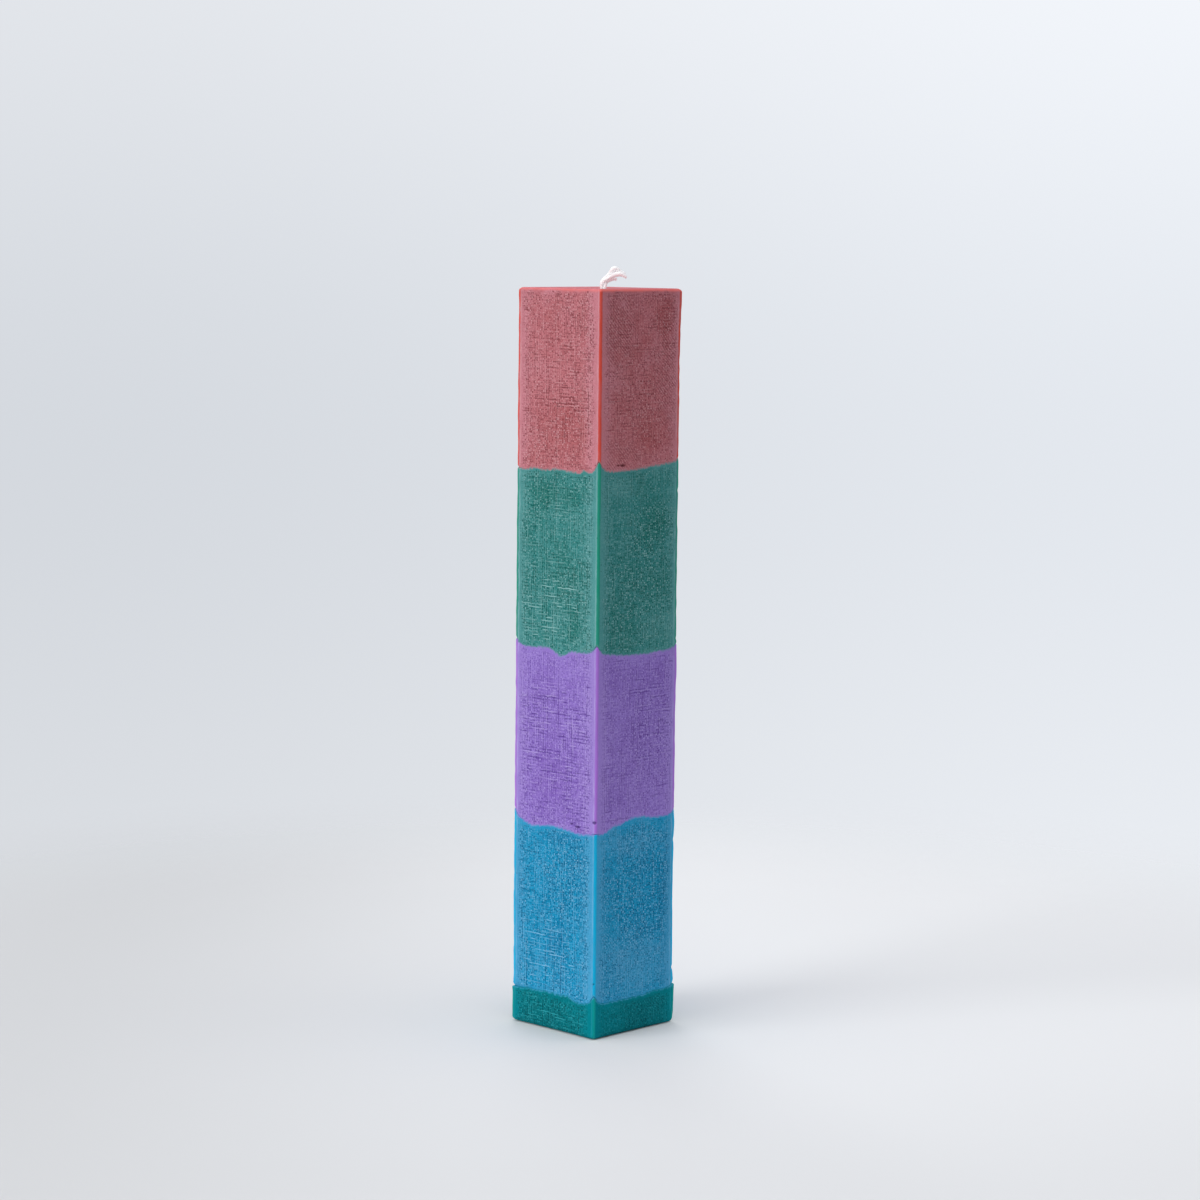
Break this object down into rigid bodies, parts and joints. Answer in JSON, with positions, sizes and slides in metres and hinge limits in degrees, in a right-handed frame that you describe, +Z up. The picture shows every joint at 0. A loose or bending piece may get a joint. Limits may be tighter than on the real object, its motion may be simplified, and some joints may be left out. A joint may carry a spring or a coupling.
{
  "type": "square layered pillar candle",
  "caption": "Tall square pillar candle poured in layers of coloured wax, with a cloth-like surface, a wider base layer and a bent cotton wick.",
  "frame": {"origin": "centre of the flat foot, on the surface that the candle stands on", "axes": "+Z up the candle; -Y and +X are the two faces that meet at the edge seen nearest, and the wick leans towards +X +Y"},
  "size_m": [0.0508, 0.0508, 0.3302],
  "materials": {
    "teal_wax": "satin wax with a cloth imprint",
    "blue_wax": "satin wax with a cloth imprint and a pale bloom",
    "violet_wax": "satin wax with a cloth imprint and a pale bloom",
    "green_wax": "satin wax with a cloth imprint and a pale bloom",
    "red_wax": "satin wax with a cloth imprint and a pale bloom",
    "wick_cotton": "soft bleached cotton yarn"
  },
  "bodies": {
    "root": {"base_layer": "teal_wax", "blue_layer": "blue_wax", "violet_layer": "violet_wax", "green_layer": "green_wax", "red_layer": "red_wax", "wick_strand_long": "wick_cotton", "wick_strand_hooked": "wick_cotton", "wick_strand_short": "wick_cotton"}
  },
  "joints": []
}
